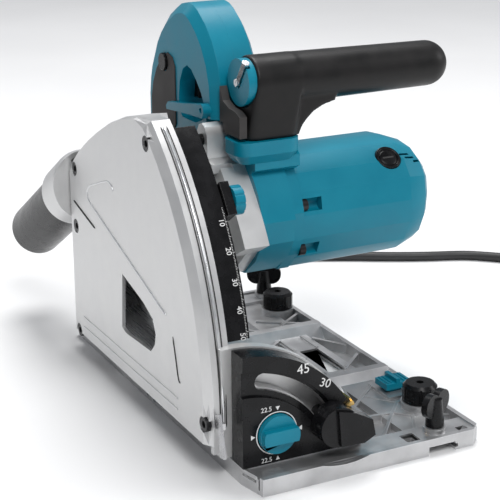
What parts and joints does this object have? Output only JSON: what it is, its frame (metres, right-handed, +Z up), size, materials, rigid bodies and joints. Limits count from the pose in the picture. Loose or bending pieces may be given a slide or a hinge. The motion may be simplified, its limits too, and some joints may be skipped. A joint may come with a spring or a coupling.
{
  "type": "track plunge saw",
  "caption": "Guide-rail plunge saw: cast base with bevel quadrants, tilting blade case, plunging motor, gear train and handles, two side controls, swivel dust nozzle and cord.",
  "frame": {"origin": "middle of the base plate's sole", "axes": "+X from the blade's side to the motor's side, +Y from the front of the base to its rear, +Z up from the sole"},
  "size_m": [0.5721, 0.3647, 0.246],
  "materials": {
    "cast_alu": "satin cast and blasted aluminium",
    "base_alu": "cast aluminium, machined sole",
    "black_plastic": "fine-textured black moulded plastic",
    "teal_plastic": "fine-textured teal moulded plastic",
    "grey_rubber": "warm dark-grey soft grip rubber",
    "black_rubber": "black rubber",
    "steel": "ground and zinc-plated steel",
    "black_steel": "black oxide steel",
    "blade_steel": "ground tool steel with carbide tips",
    "spring_steel": "spring steel",
    "brass": "plain brass",
    "copper": "enamelled copper windings on laminations",
    "glide_plastic": "low-friction strip"
  },
  "bodies": {
    "base": {"base_plate": "base_alu", "glide_strips": "glide_plastic", "front_sector": "base_alu", "rear_sector": "base_alu", "front_sector_cover": "black_plastic", "rear_sector_cover": "black_plastic", "sector_screws": "black_steel", "cord": "black_rubber", "cord_coil": "black_rubber", "plug": "black_rubber"},
    "case": {"blade_case_cover": "cast_alu", "blade_case": "cast_alu", "case_screws": "black_steel", "depth_scale_guide": "black_plastic", "cut_line_guide": "steel", "plunge_shaft": "steel", "plunge_spring": "spring_steel", "bevel_bolts": "steel", "bevel_pointer": "brass", "cord_lead": "black_rubber"},
    "motor_unit": {"gear_housing": "cast_alu", "bearings": "steel", "motor_housing": "teal_plastic", "housing_screws": "black_steel", "field_stator": "copper", "brush_holders": "brass", "brush_caps": "black_plastic", "handle_left": "teal_plastic", "handle_right": "teal_plastic", "handle_rubber": "grey_rubber", "switch_module": "black_plastic", "front_grip": "black_rubber", "grip_cap": "teal_plastic", "cord_guard": "black_rubber"},
    "armature": {"armature_shaft": "steel", "armature_core": "copper", "fan": "glide_plastic"},
    "blade_unit": {"spindle": "steel", "drive_gear": "steel", "inner_flange": "steel", "outer_flange": "steel", "blade_bolt": "black_steel", "saw_blade": "blade_steel"},
    "stop_selector_knob_body": {"stop_selector_knob": "teal_plastic"},
    "front_rail_cam_body": {"front_rail_cam": "black_plastic"},
    "rear_rail_cam_body": {"rear_rail_cam": "black_plastic"},
    "front_thumb_screw_body": {"front_thumb_screw": "black_plastic"},
    "rear_thumb_screw_body": {"rear_thumb_screw": "black_plastic"},
    "rail_catch_lever_body": {"rail_catch_lever": "teal_plastic"},
    "front_clamp_lever_body": {"front_clamp_lever": "black_plastic"},
    "rear_clamp_lever_body": {"rear_clamp_lever": "black_plastic"},
    "depth_stop_slider_body": {"depth_stop_slider": "black_plastic"},
    "depth_stop_knob_body": {"depth_stop_knob": "teal_plastic"},
    "dust_nozzle_body": {"dust_nozzle": "black_plastic"},
    "hex_key_body": {"hex_key": "steel"},
    "trigger_body": {"trigger": "black_plastic"},
    "lock_off_button_body": {"lock_off_button": "black_plastic"},
    "lock_lever_body": {"lock_lever": "teal_plastic"},
    "speed_dial_body": {"speed_dial": "black_plastic"},
    "scoring_stop_body": {"scoring_stop": "black_steel"}
  },
  "joints": [
    {"name": "bevel_tilt", "type": "hinge", "parent": "base", "child": "case", "pos_m": [-0.075, 0, 0], "axis": [0, -1, 0], "range_deg": [0, 48]},
    {"name": "plunge", "type": "hinge", "parent": "case", "child": "motor_unit", "pos_m": [-0.055, 0.0875, 0.035], "axis": [1, 0, 0], "range_deg": [0, 35], "stiffness_Nm_per_rad": 4, "springref_deg": -68.75, "deforming": ["plunge_spring"]},
    {"name": "blade_spin", "type": "hinge", "parent": "motor_unit", "child": "blade_unit", "pos_m": [-0.075, 0.0002, 0.0858], "axis": [1, 0, 0], "continuous": true},
    {"name": "armature_spin", "type": "hinge", "parent": "motor_unit", "child": "armature", "pos_m": [-0.015, -0.0015, 0.11675], "axis": [1, 0, 0], "continuous": true},
    {"name": "trigger_pull", "type": "slide", "parent": "motor_unit", "child": "trigger_body", "axis": [0, 1, 0], "range_m": [0, 0.005], "stiffness_N_per_m": 600, "springref_m": -0.002},
    {"name": "lock_off_press", "type": "slide", "parent": "motor_unit", "child": "lock_off_button_body", "axis": [1, 0, 0], "range_m": [0, 0.003], "stiffness_N_per_m": 500, "springref_m": -0.002},
    {"name": "lock_lever_lift", "type": "hinge", "parent": "motor_unit", "child": "lock_lever_body", "pos_m": [-0.036, -0.0035, 0.187], "axis": [1, 0, 0], "range_deg": [0, 8], "stiffness_Nm_per_rad": 0.3, "springref_deg": -11.46},
    {"name": "speed_dial_turn", "type": "hinge", "parent": "motor_unit", "child": "speed_dial_body", "pos_m": [0.02, 0.0345, 0.127], "axis": [0, 1, 0], "range_deg": [0, 270]},
    {"name": "scoring_stop_press", "type": "slide", "parent": "motor_unit", "child": "scoring_stop_body", "axis": [1, 0, 0], "range_m": [0, 0.004]},
    {"name": "hex_key_pull", "type": "slide", "parent": "motor_unit", "child": "hex_key_body", "axis": [-1, 0, 0], "range_m": [0, 0.05]},
    {"name": "depth_stop_set", "type": "hinge", "parent": "case", "child": "depth_stop_slider_body", "pos_m": [-0.055, 0.0875, 0.035], "axis": [1, 0, 0], "range_deg": [-10, 20]},
    {"name": "depth_knob_turn", "type": "hinge", "parent": "depth_stop_slider_body", "child": "depth_stop_knob_body", "pos_m": [-0.05, -0.06184, 0.14754], "axis": [1, 0, 0], "range_deg": [-180, 180]},
    {"name": "nozzle_turn", "type": "hinge", "parent": "case", "child": "dust_nozzle_body", "pos_m": [-0.0795, 0.1245, 0.1086], "axis": [0, 0.8616, -0.5075], "range_deg": [-90, 90]},
    {"name": "front_clamp_turn", "type": "hinge", "parent": "case", "child": "front_clamp_lever_body", "pos_m": [-0.02026, -0.1275, 0.02911], "axis": [0, -1, 0], "range_deg": [0, 45]},
    {"name": "rear_clamp_turn", "type": "hinge", "parent": "case", "child": "rear_clamp_lever_body", "pos_m": [-0.03516, 0.1275, 0.023], "axis": [0, -1, 0], "range_deg": [0, 45]},
    {"name": "stop_selector_turn", "type": "hinge", "parent": "base", "child": "stop_selector_knob_body", "pos_m": [-0.054, -0.1225, 0.0285], "axis": [0, -1, 0], "range_deg": [0, 90]},
    {"name": "front_cam_turn", "type": "hinge", "parent": "base", "child": "front_rail_cam_body", "pos_m": [0.063, -0.0885, 0.015], "axis": [0, 0, 1], "range_deg": [-90, 90]},
    {"name": "rear_cam_turn", "type": "hinge", "parent": "base", "child": "rear_rail_cam_body", "pos_m": [0.063, 0.0965, 0.015], "axis": [0, 0, 1], "range_deg": [-90, 90]},
    {"name": "front_screw_turn", "type": "hinge", "parent": "base", "child": "front_thumb_screw_body", "pos_m": [0.049, -0.1255, 0.02], "axis": [0, 0, 1], "range_deg": [-180, 180]},
    {"name": "rear_screw_turn", "type": "hinge", "parent": "base", "child": "rear_thumb_screw_body", "pos_m": [0.067, 0.1255, 0.02], "axis": [0, 0, 1], "range_deg": [-180, 180]},
    {"name": "rail_catch_slide", "type": "slide", "parent": "base", "child": "rail_catch_lever_body", "axis": [1, 0, 0], "range_m": [0, 0.006]}
  ],
  "couplings": [
    {"joint": "armature_spin", "follows": "blade_spin", "ratio": -2.875}
  ]
}
